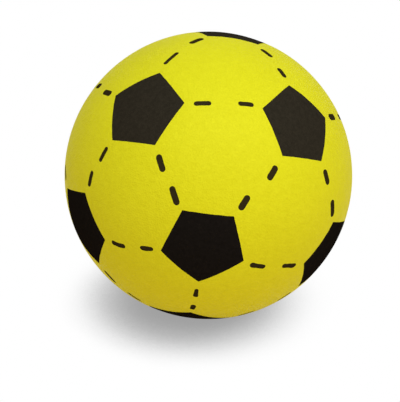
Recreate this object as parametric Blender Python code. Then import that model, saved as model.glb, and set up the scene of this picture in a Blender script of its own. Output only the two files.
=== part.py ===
"""Soft soccer ball: a solid foam ball with black ink pressed into its skin.

The ink makes twelve pentagons, each with a short dash beyond every corner, so the ball reads as
the usual twelve pentagons and twenty hexagons. Units are metres, +Z is up, and the origin is the
middle of the small flat that the soft ball stands on. The front pentagon faces -Y.
"""

import math

import bmesh
import bpy
from mathutils import Matrix, Vector
from mathutils.geometry import delaunay_2d_cdt

# Driving dimensions
BALL_DIAMETER = 0.200
FOOT_RADIUS = 0.011  # the flat that the ball's own weight presses into the soft foam
PENTAGON_RADIUS = 0.0299  # centre to corner, along the skin
DASH_LENGTH = 0.0115
DASH_WIDTH = 0.0038
INK_THICKNESS = 0.0006  # how deep the ink soaks into the foam
INK_CLEARANCE = 0.0003  # between a piece of ink and its seat, below it and round its edge
FRONT_LEAN = math.radians(8)  # the front pentagon's lowest corner leans this far towards -X

# Facets
BALL_SUBDIVISIONS = 5
SIDE_FACETS = 5  # along one side of a pentagon
END_FACETS = 4  # round one end of a dash
DASH_FACETS = 2  # along the straight of a dash
CROWDING = 0.6  # a skin point nearer than this share of the facet size to an outline is left out
FLAT_MERGE = 1e-6  # points this near in the flattened skin are one
SHARP_EDGE = math.radians(40)

# Where each print landed against its ideal place: its name, then right and up along the skin in
# metres and its turn in degrees. The unseen prints stand where the pattern puts them.
FRONT_PRINT = ("front", -0.0022, -0.0010, 1.0)
FRONT_RING = (
    ("lower_front", -0.0006, 0.0046, 0.0),
    ("left", 0.0016, 0.0008, -1.2),
    ("upper_left", -0.0007, -0.0035, 1.3),
    ("upper_right", 0.0016, 0.0, -1.0),
    ("right", 0.0020, 0.0014, 1.5),
)
REAR_RING = (
    ("rear_lower_left", 0.0, 0.0, 0.0),
    ("rear_left", 0.0, 0.0, 0.0),
    ("top", -0.0033, -0.0004, 0.0),
    ("rear_right", 0.0, 0.0, 0.0),
    ("rear_lower_right", 0.0, 0.0, 0.0),
)
REAR_PRINT = ("rear", 0.0, 0.0, 0.0)
# Prints wholly on the far side: the ink of their dashes is only the colour of the seats' floors
FAR_PRINTS = ("rear_lower_left", "rear_lower_right", "rear")
# How the dashes in view were printed, by the print that each belongs to and the one that it points
# to: how far its nearer end and its farther end lie from their ideal places, along the seam and
# aside, and its width
PRINTED_DASHES = {
    ("front", "left"): ((-0.0010, -0.0010), (-0.0030, -0.0015), 0.0030),
    ("front", "lower_front"): ((0.0015, -0.0005), (-0.0005, -0.0005), 0.0030),
    ("front", "right"): ((-0.0005, -0.0020), (0.0, -0.0015), 0.0035),
    ("front", "upper_left"): ((-0.0020, 0.0015), (-0.0005, -0.0005), 0.0041),
    ("front", "upper_right"): ((-0.0005, 0.0), (-0.0010, 0.0015), 0.0043),
    ("left", "front"): ((0.0, 0.0), (0.0, -0.0005), 0.0031),
    ("left", "upper_left"): ((0.0005, -0.0015), (0.0, 0.0015), 0.0032),
    ("lower_front", "front"): ((0.0, -0.0005), (-0.0030, -0.0005), 0.0034),
    ("right", "front"): ((0.0020, 0.0005), (0.0030, 0.0005), 0.0035),
    ("right", "upper_right"): ((-0.0010, 0.0010), (0.0, -0.0005), 0.0046),
    ("top", "upper_left"): ((-0.0005, 0.0), (-0.0005, -0.0025), 0.0044),
    ("top", "upper_right"): ((0.0015, -0.0025), (0.0, 0.0005), 0.0042),
    ("upper_left", "front"): ((0.0005, -0.0005), (0.0010, -0.0020), 0.0041),
    ("upper_left", "left"): ((-0.0005, 0.0), (-0.0005, 0.0010), 0.0030),
    ("upper_left", "top"): ((0.0020, 0.0010), (0.0050, -0.0015), 0.0028),
    ("upper_left", "upper_right"): ((0.0, -0.0005), (0.0, 0.0), 0.0031),
    ("upper_right", "front"): ((0.0020, 0.0005), (0.0015, 0.0015), 0.0042),
    ("upper_right", "rear_right"): ((0.0, 0.0), (0.0, 0.0), 0.0044),
    ("upper_right", "right"): ((0.0, 0.0), (-0.0005, -0.0005), 0.0044),
    ("upper_right", "top"): ((0.0005, 0.0), (-0.0020, 0.0015), 0.0038),
    ("upper_right", "upper_left"): ((0.0, -0.0010), (-0.0010, 0.0005), 0.0031),
}
IDEAL_DASH = ((0.0, 0.0), (0.0, 0.0), DASH_WIDTH)

# Finish of the foam and of the ink: colour, then roughness
FOAM_FINISH = ((0.77, 0.74, 0.035), 0.8)
INK_FINISH = ((0.016, 0.014, 0.011), 0.6)
FOAM_SLOT = 0  # the foam ball's own materials
INK_SLOT = 1

# Worked out from the driving dimensions
RADIUS = BALL_DIAMETER / 2
CENTRE_HEIGHT = math.sqrt(RADIUS**2 - FOOT_RADIUS**2)
SEAT_DEPTH = INK_THICKNESS + INK_CLEARANCE
FIFTH = math.radians(72)
SEAM = math.atan(2)  # angle between neighbouring pentagons
HALF_SEAM = RADIUS * SEAM / 2
DASH_MIDDLE = (PENTAGON_RADIUS + HALF_SEAM) / 2
HALF_CORNER = math.radians(54)  # of a pentagon: its corners move in by more than its sides do

FRONT = Vector((0, -1, 0))
UP = Vector((0, 0, 1))


def clear_scene():
    for thing in list(bpy.data.objects):
        bpy.data.objects.remove(thing, do_unlink=True)


def make_material(name, colour, roughness):
    material = bpy.data.materials.new(name)
    material.use_nodes = True
    shader = material.node_tree.nodes["Principled BSDF"]
    shader.inputs["Base Color"].default_value = (*colour, 1)
    shader.inputs["Roughness"].default_value = roughness
    shader.inputs["Metallic"].default_value = 0
    material.diffuse_color = (*colour, 1)
    return material


# The pattern

def ring_direction(polar, turn):
    """A direction at this angle from the front, turned this far round from straight down."""
    sideways = Vector((-math.sin(turn), 0, -math.cos(turn)))
    return FRONT * math.cos(polar) + sideways * math.sin(polar)


def print_frame(outward, neighbour):
    """Axes of a print: X runs from its centre to a corner, towards a neighbour, and Z points out."""
    corner = (neighbour - outward * neighbour.dot(outward)).normalized()
    return Matrix((corner, outward.cross(corner), outward)).transposed()


def drifted(frame, right, up, turn):
    """The same axes after the print has slid along the skin and turned."""
    outward = frame.col[2]
    east = UP.cross(outward).normalized()
    north = outward.cross(east)
    slide = Matrix.Rotation(right / RADIUS, 3, north) @ Matrix.Rotation(-up / RADIUS, 3, east)
    return slide @ Matrix.Rotation(math.radians(turn), 3, outward) @ frame


def print_frames():
    """The name and the axes of each of the twelve prints."""
    front_ring = [ring_direction(SEAM, FRONT_LEAN + k * FIFTH) for k in range(5)]
    rear_ring = [ring_direction(math.pi - SEAM, FRONT_LEAN + (k + 0.5) * FIFTH) for k in range(5)]
    places = [(FRONT_PRINT, FRONT, front_ring[0])]
    places += [(row, outward, FRONT) for row, outward in zip(FRONT_RING, front_ring)]
    places += [(row, outward, -FRONT) for row, outward in zip(REAR_RING, rear_ring)]
    places.append((REAR_PRINT, -FRONT, rear_ring[0]))
    return [
        (name, drifted(print_frame(outward, neighbour), right, up, turn))
        for (name, right, up, turn), outward, neighbour in places
    ]


def on_skin(along, aside):
    """Direction in a print's axes, after going along X and then aside over the skin."""
    flat = Vector((math.sin(along / RADIUS), 0, math.cos(along / RADIUS)))
    return flat * math.cos(aside / RADIUS) + Vector((0, math.sin(aside / RADIUS), 0))


def corner_turn(k):
    """The turn in a print's axes that takes its first corner to corner k."""
    return Matrix.Rotation(k * FIFTH, 3, "Z")


def pentagon_corners(inset):
    radius = PENTAGON_RADIUS - inset / math.sin(HALF_CORNER)
    return [corner_turn(k) @ on_skin(radius, 0) for k in range(5)]


def pentagon_outline():
    """Five sides, each the straightest line over the ball between two corners."""
    corners = pentagon_corners(0)
    return [
        corners[k].slerp(corners[(k + 1) % 5], step / SIDE_FACETS)
        for k in range(5)
        for step in range(SIDE_FACETS)
    ]


def nearest_print(prints, direction):
    """The name of the print whose centre is nearest to this direction."""
    return max(prints, key=lambda row: row[1].col[2].dot(direction))[0]


def dash_places(prints):
    """For each dash its print, the print that it points to, its axes, and its length and width.

    A dash lies beyond a corner of its pentagon. Its X runs along it and Z out through its middle.
    """
    places = []
    for name, frame in prints:
        for k in range(5):
            axes = frame @ corner_turn(k)
            target = nearest_print(prints, axes @ on_skin(RADIUS * SEAM, 0))
            nearer, farther, width = PRINTED_DASHES.get((name, target), IDEAL_DASH)
            begin = axes @ on_skin(DASH_MIDDLE - DASH_LENGTH / 2 + nearer[0], nearer[1])
            end = axes @ on_skin(DASH_MIDDLE + DASH_LENGTH / 2 + farther[0], farther[1])
            dash_axes = print_frame((begin + end).normalized(), end)
            places.append((name, target, dash_axes, (begin.angle(end) * RADIUS, width)))
    return places


def dash_outline(size, inset):
    """A slot with round ends, in a dash's axes, drawn in by the inset."""
    length, width = size
    half_width = width / 2 - inset
    half_straight = (length - width) / 2
    points = []
    for end in (1, -1):
        for step in range(END_FACETS + 1):
            angle = math.pi * (step / END_FACETS - 0.5)
            along = end * (half_straight + half_width * math.cos(angle))
            points.append((along, end * half_width * math.sin(angle)))
        for step in range(1, DASH_FACETS):
            along = end * half_straight * (1 - 2 * step / DASH_FACETS)
            points.append((along, end * half_width))
    return [on_skin(along, aside) for along, aside in points]


# The foam ball

def seat_outlines(frames, dashes):
    """The outlines of the twelve pentagons' seats, then of the sixty dashes' seats."""
    pentagon = pentagon_outline()
    seats = [[frame @ point for point in pentagon] for frame in frames]
    seats += [[axes @ point for point in dash_outline(size, 0)] for _, _, axes, size in dashes]
    return seats


def skin_directions(outlines, pole):
    """Evenly spread directions, without those that would crowd an outline or the pole."""
    mesh = bmesh.new()
    bmesh.ops.create_icosphere(mesh, subdivisions=BALL_SUBDIVISIONS, radius=1)
    spacing = sum(edge.calc_length() for edge in mesh.edges) / len(mesh.edges)
    crowded = [pole] + [point for outline in outlines for point in outline]
    spread = [
        vert.co.copy()
        for vert in mesh.verts
        if all((vert.co - point).length > spacing * CROWDING for point in crowded)
    ]
    mesh.free()
    return spread


def triangulate_skin(outlines, pole):
    """Directions and triangles that cover the ball, and the seat that each triangle lies in.

    The ball is laid flat by a stereographic view from the pole, which keeps well-shaped triangles
    well shaped. The hole round the pole is closed by a fan.
    """
    directions = []
    polygons = []
    for outline in outlines:
        polygons.append(list(range(len(directions), len(directions) + len(outline))))
        directions += outline
    directions += skin_directions(outlines, pole)
    axes = print_frame(-pole, UP)
    local = [axes.transposed() @ direction for direction in directions]
    flat = [Vector((point.x, point.y)) / (1 + point.z) for point in local]
    found = delaunay_2d_cdt(flat, [], polygons, 0, FLAT_MERGE)
    triangles, origins, owners = found[2], found[3], found[5]
    points = [directions[origin[0]] for origin in origins]
    return points, triangles, [owner[0] if owner else None for owner in owners]


def close_pole(mesh, pole):
    rim = [edge for edge in mesh.edges if edge.is_boundary]
    tip = mesh.verts.new(pole * RADIUS)
    for edge in rim:
        mesh.faces.new((tip, *edge.verts))
    bmesh.ops.recalc_face_normals(mesh, faces=mesh.faces)


def extrude_to(mesh, faces, radius):
    """Extrudes these faces straight out or in to this radius, and gives the moved faces."""
    made = bmesh.ops.extrude_face_region(mesh, geom=faces)["geom"]
    for vert in made:
        if isinstance(vert, bmesh.types.BMVert):
            vert.co = vert.co.normalized() * radius
    return [face for face in made if isinstance(face, bmesh.types.BMFace)]


def sink_seat(mesh, faces, slot):
    """Presses these faces of the skin in, and leaves walls round a floor of this material."""
    for face in extrude_to(mesh, faces, RADIUS - SEAT_DEPTH):
        face.material_index = slot
    bmesh.ops.delete(mesh, geom=faces, context="FACES")


def flatten_foot(mesh):
    everything = mesh.verts[:] + mesh.edges[:] + mesh.faces[:]
    foot = Vector((0, 0, -CENTRE_HEIGHT))
    bmesh.ops.bisect_plane(mesh, geom=everything, plane_co=foot, plane_no=UP, clear_inner=True)
    rim = [edge for edge in mesh.edges if edge.is_boundary]
    bmesh.ops.contextual_create(mesh, geom=rim)
    bmesh.ops.recalc_face_normals(mesh, faces=mesh.faces)


def build_foam_ball(prints, dashes, foam, ink, parent):
    frames = [frame for name, frame in prints]
    seats = seat_outlines(frames, dashes)
    # The middle of a hexagon at the back, which no mark reaches
    far = [frame.col[2] for name, frame in prints if name in FAR_PRINTS]
    pole = sum(far, Vector()).normalized()
    points, triangles, owners = triangulate_skin(seats, pole)
    mesh = bmesh.new()
    verts = [mesh.verts.new(point * RADIUS) for point in points]
    faces_of = [[] for seat in seats]
    for triangle, owner in zip(triangles, owners):
        face = mesh.faces.new([verts[corner] for corner in triangle])
        if owner is not None:
            faces_of[owner].append(face)
    close_pole(mesh, pole)
    for index, faces in enumerate(faces_of):
        is_pentagon = index < len(frames)
        sink_seat(mesh, faces, FOAM_SLOT if is_pentagon else INK_SLOT)
    flatten_foot(mesh)
    add_object("foam_ball", mesh_data("foam_ball", mesh, (foam, ink)), parent)


# The ink, in the axes of its print or its dash, from the ball's centre

def ink_layer(name, mesh, ink):
    """Gives a flat-laid piece of ink its thickness, curved with the ball."""
    bmesh.ops.triangulate(mesh, faces=mesh.faces)
    for vert in mesh.verts:
        vert.co = vert.co.normalized() * (RADIUS - INK_THICKNESS)
    extrude_to(mesh, mesh.faces[:], RADIUS)
    bmesh.ops.recalc_face_normals(mesh, faces=mesh.faces)
    return mesh_data(name, mesh, (ink,))


def build_pentagon_mesh(ink):
    mesh = bmesh.new()
    middle = mesh.verts.new((0, 0, 1))
    corners = [mesh.verts.new(corner) for corner in pentagon_corners(INK_CLEARANCE)]
    for k in range(5):
        mesh.faces.new((middle, corners[k], corners[(k + 1) % 5]))
    bmesh.ops.subdivide_edges(mesh, edges=mesh.edges, cuts=SIDE_FACETS - 1, use_grid_fill=True)
    return ink_layer("pentagon", mesh, ink)


def build_dash_mesh(size, ink):
    mesh = bmesh.new()
    mesh.faces.new([mesh.verts.new(point) for point in dash_outline(size, INK_CLEARANCE)])
    return ink_layer("dash", mesh, ink)


def build_ink(prints, dashes, ink, parent):
    """The pentagons, and the dashes that have ink of their own, each named after both its prints."""
    pentagon = build_pentagon_mesh(ink)
    for name, frame in prints:
        add_object(f"pentagon_{name}", pentagon, parent, frame)
    for name, target, axes, size in dashes:
        if name not in FAR_PRINTS:
            add_object(f"dash_{name}_to_{target}", build_dash_mesh(size, ink), parent, axes)


def mesh_data(name, mesh, materials):
    data = bpy.data.meshes.new(name)
    mesh.to_mesh(data)
    mesh.free()
    for material in materials:
        data.materials.append(material)
    data.shade_smooth()
    data.set_sharp_from_angle(angle=SHARP_EDGE)
    return data


def add_object(name, data, parent, axes=None):
    thing = bpy.data.objects.new(name, data)
    thing.parent = parent
    if axes:
        thing.rotation_mode = "QUATERNION"
        thing.rotation_quaternion = axes.to_quaternion()
    bpy.context.scene.collection.objects.link(thing)
    return thing


def main():
    clear_scene()
    foam = make_material("yellow_foam", *FOAM_FINISH)
    ink = make_material("black_ink", *INK_FINISH)
    centre = add_object("ball_centre", None, None)
    centre.location = (0, 0, CENTRE_HEIGHT)
    prints = print_frames()
    dashes = dash_places(prints)
    build_foam_ball(prints, dashes, foam, ink, centre)
    build_ink(prints, dashes, ink, centre)


main()
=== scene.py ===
"""Looks of the soft soccer ball: the foam's fine skin, the ink pressed into it, and a plain studio.

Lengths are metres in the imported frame. A direction is a unit vector from the ball's centre.
"""

import math

import bmesh
import bpy
from mathutils import Matrix, Vector, kdtree, noise
from mathutils.geometry import delaunay_2d_cdt


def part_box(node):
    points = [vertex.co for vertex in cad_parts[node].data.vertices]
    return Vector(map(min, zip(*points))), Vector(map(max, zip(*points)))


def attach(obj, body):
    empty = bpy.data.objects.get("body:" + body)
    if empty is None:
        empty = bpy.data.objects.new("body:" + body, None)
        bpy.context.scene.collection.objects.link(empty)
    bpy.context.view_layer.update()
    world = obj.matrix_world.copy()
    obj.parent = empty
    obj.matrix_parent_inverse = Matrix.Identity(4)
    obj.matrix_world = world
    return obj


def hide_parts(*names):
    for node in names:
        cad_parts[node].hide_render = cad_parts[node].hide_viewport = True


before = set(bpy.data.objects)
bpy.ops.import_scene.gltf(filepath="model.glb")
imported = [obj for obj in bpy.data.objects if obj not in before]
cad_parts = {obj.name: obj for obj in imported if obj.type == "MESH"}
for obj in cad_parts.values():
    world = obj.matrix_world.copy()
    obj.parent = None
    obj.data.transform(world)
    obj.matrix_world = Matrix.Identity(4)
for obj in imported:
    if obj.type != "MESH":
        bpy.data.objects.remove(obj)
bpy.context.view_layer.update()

UP = Vector((0, 0, 1))

# The photograph's frame, in its pixels, and the camera that fits it
PHOTO_WIDTH = 400
PHOTO_HEIGHT = 402
BALL_AT = (208.4, 175.3)  # the ball's centre
BALL_PIXELS = 143.85  # the ball's radius
CAMERA_AZIMUTH = math.radians(0.6)
CAMERA_ELEVATION = math.radians(28.6)
CAMERA_DISTANCE = 3
SENSOR = 36  # millimetres, along the longer side

# Sizes of the solids
SOLID_LOW, SOLID_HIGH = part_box("foam_ball")
RADIUS = (SOLID_HIGH.x - SOLID_LOW.x) / 2
CENTRE = Vector((0, 0, SOLID_HIGH.z - RADIUS))
SOLID_CLEARANCE = 0.0003  # the air round each solid mark, which the real ink fills

# The pattern
FIFTH = math.radians(72)
HALF_CORNER = math.radians(54)  # half the angle at a pentagon's corner
SEAM = math.atan(2)  # angle between neighbouring pentagons
MODEL_PRINT = "rear_right"  # its pentagon gives all their size
MODEL_DASH = "dash_rear_right_to_rear"  # one that lies where the pattern puts it
FAR_PRINTS = ("rear", "rear_lower_left", "rear_lower_right")  # their hexagon's middle is free of marks
SHEEN_PAINTED_PRINTS = ("upper_left", "upper_right", "top")  # pentagons facing up, whose ink is painted lighter: a painted sheen from the overhead lamp

# The pressed print
INK_SINK = 0.00005  # how far the press leaves the ink below the skin
INK_THICKNESS = 0.0004
INK_CLEARANCE = 0.00003  # between the ink and its seat
SHOULDER = 0.0016  # how far from a mark's edge the skin is drawn down with it
PENTAGON_CREEP = 0.00035  # how far a pentagon's ink creeps beyond its solid's seat
DASH_CREEP = 0.0002
EDGE_STEP = 0.0010  # between points along an outline
EDGE_WANDER = 0.00016  # how far an edge strays
ROUGH_WANDER = 0.0006  # the same on the dashes below the ball's middle, which printed less cleanly
EDGE_WAVE = 0.004  # over what length it strays
EDGE_SEED = 6  # fixes which way each edge strays
RING_OFFSETS = (0.0006, 0.0014, -0.0007)  # extra rows of points outside and inside an outline

# The foam's skin
SKIN_SUBDIVISIONS = 7
SKIN_CROWDING = 0.0007  # a skin point nearer than this to an outline's points is left out
HULL_TRIANGLES = 0  # the triangulation keeps every triangle up to the convex hull
FLAT_MERGE = 1e-7  # points nearer than this in the flat layout would be merged
UNEVENNESS = ((0.035, 0.00008), (0.012, 0.00003))  # wavelength and height of the skin's waves
SHARP_EDGE = math.radians(40)

# The materials' grain
MOTTLE_DETAIL = 3
PATCH_DETAIL = 1

# The foam's look
FOAM_CELL = 0.0012
FOAM_MOTTLE = 0.004
FOAM_PATCH = 0.05
FOAM_CELL_TONE = 0.25  # how much the cells, the mottle and the patches count in the tone
FOAM_MOTTLE_TONE = 0.5
FOAM_PATCH_TONE = 0.3
FOAM_COLOURS = ((0.3, (0.72, 0.71, 0.0095)), (0.75, (0.80, 0.80, 0.0165)))  # by tone
FOAM_MOTTLE_HEIGHT = 1.5  # the mottle's height, with the cells' as 1
FOAM_RELIEF = 0.0003
FOAM_RELIEF_STRENGTH = 0.7
FOAM_FINISH = {
    "Roughness": 0.55,
    "Specular IOR Level": 0.05,
    "Sheen Weight": 0.12,
    "Sheen Roughness": 0.5,
    "Sheen Tint": (1, 0.97, 0.12, 1),
}

# The inks' look: dense on the pentagons, painted lighter on the upward-facing ones as painted sheen, and
# browner on the dashes
INK_CELL = 0.0008
INK_MOTTLE = 0.003
INK_CELL_TONE = 0.4
INK_MOTTLE_TONE = 0.6
INK_DARK_TONE = 0.25  # the tones at which an ink is darkest and lightest
INK_LIGHT_TONE = 0.75
INK_COLOURS = {
    "dense": ((0.007, 0.0061, 0.0055), (0.012, 0.0103, 0.0094)),
    # the upward-facing pentagons' ink, painted lighter and browner as painted sheen where the overhead
    # lamp falls
    "painted_sheen": ((0.020, 0.0175, 0.0125), (0.034, 0.0295, 0.021)),
    "dash": ((0.024, 0.0185, 0.0080), (0.039, 0.0305, 0.0125)),
}
INK_RELIEF = 0.00015
INK_RELIEF_STRENGTH = 0.3
INK_FINISH = {"Roughness": 0.8, "Specular IOR Level": 0.0}

# The studio
FLOOR_SIZE = 12
FLOOR_BOUNCE = (0.88, 0.68, 0.50, 1)  # the floor's colour for the light that it throws back at the ball
AMBIENT = (0.40, 0.368, 0.32, 1)  # the room's light from all round
WHITE = (1, 1, 1, 1)
# Lamps: name, azimuth and elevation in degrees, distance, width, level on a white surface, colour
LAMPS = (
    ("overhead", 0, 70, 2.5, 2.0, 0.43, (1, 1, 1)),
    ("front_right", 45, 45, 2.5, 2.0, 0.32, (0.97, 1, 0.97)),
)

# The floor as it is seen: white, and grey where the ball hides the room's light, most of it on the right
SHADOW_LEAN = Vector((0.343, 0.017, 1)).normalized()  # the middle of that light
SHADOW_REACH = 0.06  # what is farther than this from a spot doesn't shade it
SHADOW_CONTRAST = 2.03
SHADOW_OFFSET = -0.2
SHADOW_CORE = 0.352  # the floor gets no darker than this
SHADOW_SOFTNESS = 0.4  # how softly the floor nears its darkest and its white

noise.seed_set(EDGE_SEED)


# The pattern, read from the solids

def axes_to(outward, ahead):
    """Axes with Z along outward and X as near as can be to the other direction."""
    level = (ahead - outward * ahead.dot(outward)).normalized()
    return Matrix((level, outward.cross(level), outward)).transposed()


def solid_directions(name):
    """The directions of a solid's corners."""
    return [(vert.co - CENTRE).normalized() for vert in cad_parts[name].data.vertices]


def solid_middle(name):
    """The direction of the middle of a solid's surface."""
    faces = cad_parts[name].data.polygons
    return sum(((face.center - CENTRE) * face.area for face in faces), Vector()).normalized()


def mark_axes(name):
    """A solid mark's axes: Z points out of its middle and X towards its farthest corner or end."""
    outward = solid_middle(name)
    farthest = min(solid_directions(name), key=outward.dot)
    return axes_to(outward, farthest)


def corner_turn(k):
    return Matrix.Rotation(k * FIFTH, 3, "Z")


def on_skin(along, aside):
    """Direction in a mark's axes, after going along X and then aside over the skin."""
    flat = Vector((math.sin(along / RADIUS), 0, math.cos(along / RADIUS)))
    return flat * math.cos(aside / RADIUS) + Vector((0, math.sin(aside / RADIUS), 0))


def along_and_aside(direction):
    """The inverse of on_skin."""
    return Vector((math.atan2(direction.x, direction.z), math.asin(direction.y))) * RADIUS


def nearest_print(prints, direction):
    return max(prints, key=lambda name: prints[name].col[2].dot(direction))


def pentagon_radius(name, axes):
    """Centre to corner along the skin, with the ink filling the solid's clearance and creeping on."""
    farthest = min(axes.col[2].dot(direction) for direction in solid_directions(name))
    return math.acos(farthest) * RADIUS + (SOLID_CLEARANCE + PENTAGON_CREEP) / math.sin(HALF_CORNER)


def dash_size(name):
    """A dash's length and width, with the ink filling the solid's clearance and creeping on."""
    to_local = mark_axes(name).transposed()
    corners = [along_and_aside(to_local @ direction) for direction in solid_directions(name)]
    length = 2 * (max(corner.x for corner in corners) + SOLID_CLEARANCE + DASH_CREEP)
    width = 2 * (max(corner.y for corner in corners) + SOLID_CLEARANCE + DASH_CREEP)
    return length, width


# Outlines of the marks

def stray(direction, wander):
    """Moves a point of an edge a little, as ink creeps in foam."""
    shift = noise.noise_vector(direction * (RADIUS / EDGE_WAVE)) * (wander / RADIUS)
    return (direction + shift).normalized()


def pentagon_outline(radius):
    """A pentagon in its own axes."""
    corners = [corner_turn(k) @ on_skin(radius, 0) for k in range(5)]
    side = corners[0].angle(corners[1]) * RADIUS
    steps = round(side / EDGE_STEP)
    return [
        corners[k].slerp(corners[(k + 1) % 5], step / steps)
        for k in range(5)
        for step in range(steps)
    ]


def dash_outline(length, width):
    """A slot with round ends, in its own axes."""
    half_width = width / 2
    half_straight = length / 2 - half_width
    end_steps = round(math.pi * half_width / EDGE_STEP)
    side_steps = round(2 * half_straight / EDGE_STEP)
    points = []
    for side in (1, -1):
        for step in range(end_steps + 1):
            angle = math.pi * (step / end_steps - 0.5)
            along = side * (half_straight + half_width * math.cos(angle))
            points.append((along, side * half_width * math.sin(angle)))
        for step in range(1, side_steps):
            along = side * half_straight * (1 - 2 * step / side_steps)
            points.append((along, side * half_width))
    return [on_skin(along, aside) for along, aside in points]


def mark_outlines(prints):
    """The outline of every mark by its name, pentagons and dashes, on the ball.

    A far dash that has no solid lies where the model dash does in its own print.
    """
    outlines = {}
    radius = pentagon_radius(f"pentagon_{MODEL_PRINT}", prints[MODEL_PRINT])
    reach = prints[MODEL_PRINT].col[2].angle(solid_middle(MODEL_DASH)) * RADIUS
    pentagon = pentagon_outline(radius)
    for name, axes in prints.items():
        outlines[f"pentagon_{name}"] = [stray(axes @ point, EDGE_WANDER) for point in pentagon]
        for k in range(5):
            turned = axes @ corner_turn(k)
            seam_end = turned @ on_skin(RADIUS * SEAM, 0)
            mark = f"dash_{name}_to_{nearest_print(prints, seam_end)}"
            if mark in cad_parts:
                size = dash_size(mark)
                dash_axes = mark_axes(mark)
            else:
                size = dash_size(MODEL_DASH)
                dash_axes = axes_to(turned @ on_skin(reach, 0), seam_end)
            wander = ROUGH_WANDER if dash_axes.col[2].z < 0 else EDGE_WANDER
            outlines[mark] = [stray(dash_axes @ point, wander) for point in dash_outline(*size)]
    return outlines


# The skin, laid flat and triangulated round the marks

def outward_normals(outline):
    """For each point of an outline, the direction over the skin that leaves the mark."""
    normals = []
    for before, point, after in zip(outline[-1:] + outline[:-1], outline, outline[1:] + outline[:1]):
        normals.append((after - before).cross(point).normalized())
    return normals


def offset_ring(outline, distance):
    """The outline moved over the skin, out of the mark by this distance."""
    shift = distance / RADIUS
    return [
        (point + normal * shift).normalized()
        for point, normal in zip(outline, outward_normals(outline))
    ]


def tree_of(points):
    tree = kdtree.KDTree(len(points))
    for index, point in enumerate(points):
        tree.insert(point, index)
    tree.balance()
    return tree


def skin_directions(taken):
    """Evenly spread directions, without those that crowd the points already taken."""
    mesh = bmesh.new()
    bmesh.ops.create_icosphere(mesh, subdivisions=SKIN_SUBDIVISIONS, radius=1)
    crowded = tree_of(taken)
    spread = [
        vert.co.normalized()
        for vert in mesh.verts
        if crowded.find(vert.co)[2] > SKIN_CROWDING / RADIUS
    ]
    mesh.free()
    return spread


def triangulate_skin(outlines, pole):
    """Directions, triangles, the outline that each triangle lies in, and each direction's first index.

    The ball is laid flat by a stereographic view from the pole, which keeps the triangles' shape. The
    first indices count through the points of the outlines, one outline after the other, and then on.
    """
    directions = []
    polygons = []
    for outline in outlines:
        polygons.append(list(range(len(directions), len(directions) + len(outline))))
        directions += outline
    for outline in outlines:
        for offset in RING_OFFSETS:
            directions += offset_ring(outline, offset)
    directions += skin_directions(directions + [pole])
    axes = axes_to(-pole, UP).transposed()
    local = [axes @ direction for direction in directions]
    flat = [Vector((point.x, point.y)) / (1 + point.z) for point in local]
    found = delaunay_2d_cdt(flat, [], polygons, HULL_TRIANGLES, FLAT_MERGE)
    triangles = found[2]
    firsts = [origin[0] for origin in found[3]]
    owners = [owner[0] if owner else None for owner in found[5]]
    points = [directions[first] for first in firsts]
    return points, triangles, owners, firsts


def triangles_of(owner, triangles, owners):
    """The triangles that lie in the outline of this index, or in no outline for None."""
    return [tri for tri, found in zip(triangles, owners) if found == owner]


def open_edges(triangles):
    """The directed edges that no other of these triangles runs along the other way."""
    edges = {(tri[i], tri[(i + 1) % 3]) for tri in triangles for i in range(3)}
    return [edge for edge in edges if (edge[1], edge[0]) not in edges]


def skin_height(direction):
    """How far the uneven skin stands off the true ball."""
    return sum(
        noise.noise(direction * (RADIUS / wave)) * height for wave, height in UNEVENNESS
    )


def on_floor(point):
    """Flattens what would reach below the floor, as the soft ball's own weight does."""
    return Vector((point.x, point.y, max(point.z, 0)))


def skin_point(direction, sink):
    """The place in this direction that lies this far below the skin."""
    return on_floor(CENTRE + direction * (RADIUS + skin_height(direction) - sink))


# Pieces

def add_piece(name, verts, faces, material, solids):
    data = bpy.data.meshes.new(name)
    data.from_pydata(verts, [], faces)
    data.validate()
    data.materials.append(material)
    data.shade_smooth()
    data.set_sharp_from_angle(angle=SHARP_EDGE)
    piece = bpy.data.objects.new(name, data)
    bpy.context.scene.collection.objects.link(piece)
    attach(piece, "root")
    if solids:
        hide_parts(*solids)
    return piece


def build_foam(points, triangles, owners, marks, pole, material):
    """The foam ball, with a seat under each mark and the skin drawn down round it."""
    edge_tree = tree_of([point for outline in marks.values() for point in outline])
    verts = []
    for point in points:
        reach = edge_tree.find(point)[2] * RADIUS / SHOULDER
        press = (1 - min(reach, 1) ** 2) ** 2
        verts.append(skin_point(point, INK_SINK * press))
    faces = triangles_of(None, triangles, owners)
    for owner in range(len(marks)):
        inside = triangles_of(owner, triangles, owners)
        floor = {}
        for tri in inside:
            for corner in tri:
                if corner not in floor:
                    floor[corner] = len(verts)
                    verts.append(skin_point(points[corner], INK_SINK + INK_THICKNESS + INK_CLEARANCE))
        faces += [tuple(floor[corner] for corner in tri) for tri in inside]
        faces += [(a, b, floor[b], floor[a]) for a, b in open_edges(inside)]
    tip = len(verts)
    verts.append(skin_point(pole, 0))
    faces += [(b, a, tip) for a, b in open_edges(triangles)]
    foam = add_piece("foam_ball_skin", verts, faces, material, ["foam_ball"])


def build_ink(name, inside, points, insets, material):
    """One mark's ink: a layer, INK_THICKNESS deep, that fills its seat."""
    corners = sorted({corner for tri in inside for corner in tri})
    top = {corner: index for index, corner in enumerate(corners)}
    count = len(corners)
    spots = [insets.get(corner, points[corner]) for corner in corners]
    verts = [skin_point(spot, INK_SINK) for spot in spots]
    verts += [skin_point(spot, INK_SINK + INK_THICKNESS) for spot in spots]
    faces = []
    for a, b, c in inside:
        faces.append((top[a], top[b], top[c]))
        faces.append((top[c] + count, top[b] + count, top[a] + count))
    faces += [(top[b], top[a], top[a] + count, top[b] + count) for a, b in open_edges(inside)]
    solids = [name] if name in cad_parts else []
    add_piece(f"ink_{name}", verts, faces, material, solids)


def ink_kind(name):
    if name.startswith("dash_"):
        return "dash"
    # the upward-facing pentagons get the ink with painted sheen
    return "painted_sheen" if name.removeprefix("pentagon_") in SHEEN_PAINTED_PRINTS else "dense"


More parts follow.
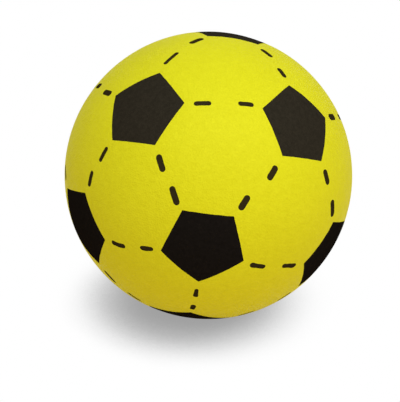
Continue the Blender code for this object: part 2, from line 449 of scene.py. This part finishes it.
def build_ball(foam, inks):
    """The foam and its marks. The inks are the dense pentagons', the upward-facing pentagons' with
    painted sheen, and the dashes'.
    """
    prints = {
        name.removeprefix("pentagon_"): mark_axes(name)
        for name in sorted(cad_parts)
        if name.startswith("pentagon_")
    }
    marks = mark_outlines(prints)
    pole = sum((prints[name].col[2] for name in FAR_PRINTS), Vector()).normalized()
    outlines = list(marks.values())
    points, triangles, owners, firsts = triangulate_skin(outlines, pole)
    inset_edges = [point for outline in outlines for point in offset_ring(outline, -INK_CLEARANCE)]
    insets = {
        index: inset_edges[first]
        for index, first in enumerate(firsts)
        if first < len(inset_edges)
    }
    build_foam(points, triangles, owners, marks, pole, foam)
    for owner, name in enumerate(marks):
        inside = triangles_of(owner, triangles, owners)
        build_ink(name, inside, points, insets, inks[ink_kind(name)])


# Materials

def new_material(name):
    material = bpy.data.materials.new(name)
    material.use_nodes = True
    return material, material.node_tree


def set_inputs(node, values):
    for name, value in values.items():
        node.inputs[name].default_value = value


def add_node(tree, kind, values=None):
    node = tree.nodes.new("ShaderNode" + kind)
    set_inputs(node, values or {})
    return node


def add_math(tree, operation, *values):
    """A Math node on these sockets or numbers, and its output."""
    node = add_node(tree, "Math")
    node.operation = operation
    for socket, value in zip(node.inputs, values):
        if isinstance(value, (int, float)):
            socket.default_value = value
        else:
            tree.links.new(value, socket)
    return node.outputs[0]


def add_weighted(tree, *terms):
    """The sum of these sockets, each times its weight."""
    total = 0
    for socket, weight in terms:
        total = add_math(tree, "MULTIPLY_ADD", socket, weight, total)
    return total


def add_ramp(tree, factor, stops):
    """A colour ramp through these positions and colours, and its output."""
    node = add_node(tree, "ValToRGB")
    for element, (position, colour) in zip(node.color_ramp.elements, stops):
        element.position = position
        element.color = (*colour, 1)
    tree.links.new(factor, node.inputs["Fac"])
    return node.outputs["Color"]


def surface_noise(tree, size, detail):
    """Noise of this grain, fixed to the piece, and its output."""
    coordinates = add_node(tree, "TexCoord")
    node = add_node(tree, "TexNoise", {"Scale": 1 / size, "Detail": detail})
    tree.links.new(coordinates.outputs["Object"], node.inputs["Vector"])
    return node.outputs["Fac"]


def surface_cells(tree, size):
    """Distance from the middle of the nearest foam cell of this size."""
    coordinates = add_node(tree, "TexCoord")
    node = add_node(tree, "TexVoronoi", {"Scale": 1 / size})
    tree.links.new(coordinates.outputs["Object"], node.inputs["Vector"])
    return node.outputs["Distance"]


def add_bump(tree, height, distance, strength):
    node = add_node(tree, "Bump", {"Strength": strength, "Distance": distance})
    tree.links.new(height, node.inputs["Height"])
    return node.outputs["Normal"]


def foam_material():
    """Fine open-pored foam: lemon yellow, dull, a little paler where the light grazes it."""
    material, tree = new_material("yellow_foam")
    shader = tree.nodes["Principled BSDF"]
    cells = surface_cells(tree, FOAM_CELL)
    mottle = surface_noise(tree, FOAM_MOTTLE, MOTTLE_DETAIL)
    patches = surface_noise(tree, FOAM_PATCH, PATCH_DETAIL)
    tones = ((cells, FOAM_CELL_TONE), (mottle, FOAM_MOTTLE_TONE), (patches, FOAM_PATCH_TONE))
    tone = add_weighted(tree, *tones)
    tree.links.new(add_ramp(tree, tone, FOAM_COLOURS), shader.inputs["Base Color"])
    height = add_weighted(tree, (cells, 1), (mottle, FOAM_MOTTLE_HEIGHT))
    normal = add_bump(tree, height, FOAM_RELIEF, FOAM_RELIEF_STRENGTH)
    tree.links.new(normal, shader.inputs["Normal"])
    set_inputs(shader, FOAM_FINISH)
    return material


def ink_material(name, dark, light):
    """Soft black ink that has soaked into the foam and dried dull."""
    material, tree = new_material(name)
    shader = tree.nodes["Principled BSDF"]
    cells = surface_cells(tree, INK_CELL)
    mottle = surface_noise(tree, INK_MOTTLE, MOTTLE_DETAIL)
    tone = add_weighted(tree, (cells, INK_CELL_TONE), (mottle, INK_MOTTLE_TONE))
    colour = add_ramp(tree, tone, ((INK_DARK_TONE, dark), (INK_LIGHT_TONE, light)))
    tree.links.new(colour, shader.inputs["Base Color"])
    height = add_math(tree, "ADD", cells, mottle)
    normal = add_bump(tree, height, INK_RELIEF, INK_RELIEF_STRENGTH)
    tree.links.new(normal, shader.inputs["Normal"])
    set_inputs(shader, INK_FINISH)
    return material


# Studio

def show_and_light(tree, seen, cast, output):
    """Shows one shader to rays from the camera, a mirror or glass, and lights things with the other."""
    path = add_node(tree, "LightPath").outputs
    mirrored = add_math(tree, "MAXIMUM", path["Is Glossy Ray"], path["Is Transmission Ray"])
    looking = add_math(tree, "MAXIMUM", path["Is Camera Ray"], mirrored)
    mix = add_node(tree, "MixShader")
    tree.links.new(looking, mix.inputs["Fac"])
    tree.links.new(cast.outputs[0], mix.inputs[1])
    tree.links.new(seen.outputs[0], mix.inputs[2])
    tree.links.new(mix.outputs[0], tree.nodes[output].inputs["Surface"])


def floor_material():
    """White with the ball's soft shadow to look at, and warm in the light that it throws back."""
    material, tree = new_material("floor")
    tree.nodes.remove(tree.nodes["Principled BSDF"])
    lean = add_node(tree, "CombineXYZ", dict(zip("XYZ", SHADOW_LEAN)))
    open_room = add_node(tree, "AmbientOcclusion", {"Distance": SHADOW_REACH})
    tree.links.new(lean.outputs[0], open_room.inputs["Normal"])
    grey = add_math(tree, "MULTIPLY", open_room.outputs["AO"], SHADOW_CONTRAST)
    grey = add_math(tree, "ADD", grey, SHADOW_OFFSET)
    grey = add_math(tree, "SMOOTH_MAX", grey, SHADOW_CORE, SHADOW_SOFTNESS)
    grey = add_math(tree, "SMOOTH_MIN", grey, 1, SHADOW_SOFTNESS)
    seen = add_node(tree, "Emission")
    tree.links.new(grey, seen.inputs["Strength"])
    bounce = add_node(tree, "BsdfDiffuse", {"Color": FLOOR_BOUNCE})
    show_and_light(tree, seen, bounce, "Material Output")
    return material


def build_floor():
    mesh = bmesh.new()
    bmesh.ops.create_grid(mesh, x_segments=1, y_segments=1, size=FLOOR_SIZE / 2)
    data = bpy.data.meshes.new("floor")
    mesh.to_mesh(data)
    mesh.free()
    data.materials.append(floor_material())
    floor = bpy.data.objects.new("floor", data)
    bpy.context.scene.collection.objects.link(floor)


def build_world():
    """White to look at, and an even light from all round."""
    world = bpy.data.worlds.new("studio")
    world.use_nodes = True
    tree = world.node_tree
    ambient = tree.nodes["Background"]
    set_inputs(ambient, {"Color": AMBIENT})
    seen = add_node(tree, "Background", {"Color": WHITE})
    show_and_light(tree, seen, ambient, "World Output")
    bpy.context.scene.world = world


def direction_at(azimuth, elevation):
    """The direction from the ball of something at this azimuth, from -Y round to +X, and elevation."""
    level = Vector((math.sin(azimuth), -math.cos(azimuth), 0))
    return level * math.cos(elevation) + UP * math.sin(elevation)


def set_up(thing, direction, distance):
    """Adds a lamp or a camera at this distance from the ball's centre, looking at it."""
    thing.location = CENTRE + direction * distance
    thing.rotation_mode = "QUATERNION"
    thing.rotation_quaternion = direction.to_track_quat("Z", "Y")
    bpy.context.scene.collection.objects.link(thing)


def build_lamps():
    """Soft round lamps. A small one of power P would light white at distance d to P / (pi * d) ** 2."""
    for name, azimuth, elevation, distance, width, level, colour in LAMPS:
        data = bpy.data.lights.new(name, "AREA")
        data.shape = "DISK"
        data.size = width
        data.color = colour
        data.energy = level * (math.pi * distance) ** 2
        lamp = bpy.data.objects.new(name, data)
        set_up(lamp, direction_at(math.radians(azimuth), math.radians(elevation)), distance)


def build_camera():
    data = bpy.data.cameras.new("camera")
    focal_pixels = BALL_PIXELS * math.sqrt((CAMERA_DISTANCE / RADIUS) ** 2 - 1)
    data.sensor_width = SENSOR
    data.lens = focal_pixels / PHOTO_HEIGHT * SENSOR
    data.shift_x = (PHOTO_WIDTH / 2 - BALL_AT[0]) / PHOTO_HEIGHT
    data.shift_y = (BALL_AT[1] - PHOTO_HEIGHT / 2) / PHOTO_HEIGHT
    camera = bpy.data.objects.new("camera", data)
    set_up(camera, direction_at(CAMERA_AZIMUTH, CAMERA_ELEVATION), CAMERA_DISTANCE)
    bpy.context.scene.camera = camera


inks = {kind: ink_material(f"{kind}_ink", *colours) for kind, colours in INK_COLOURS.items()}
build_ball(foam_material(), inks)
build_floor()
build_world()
build_lamps()
build_camera()
bpy.context.scene.view_settings.view_transform = "Standard"
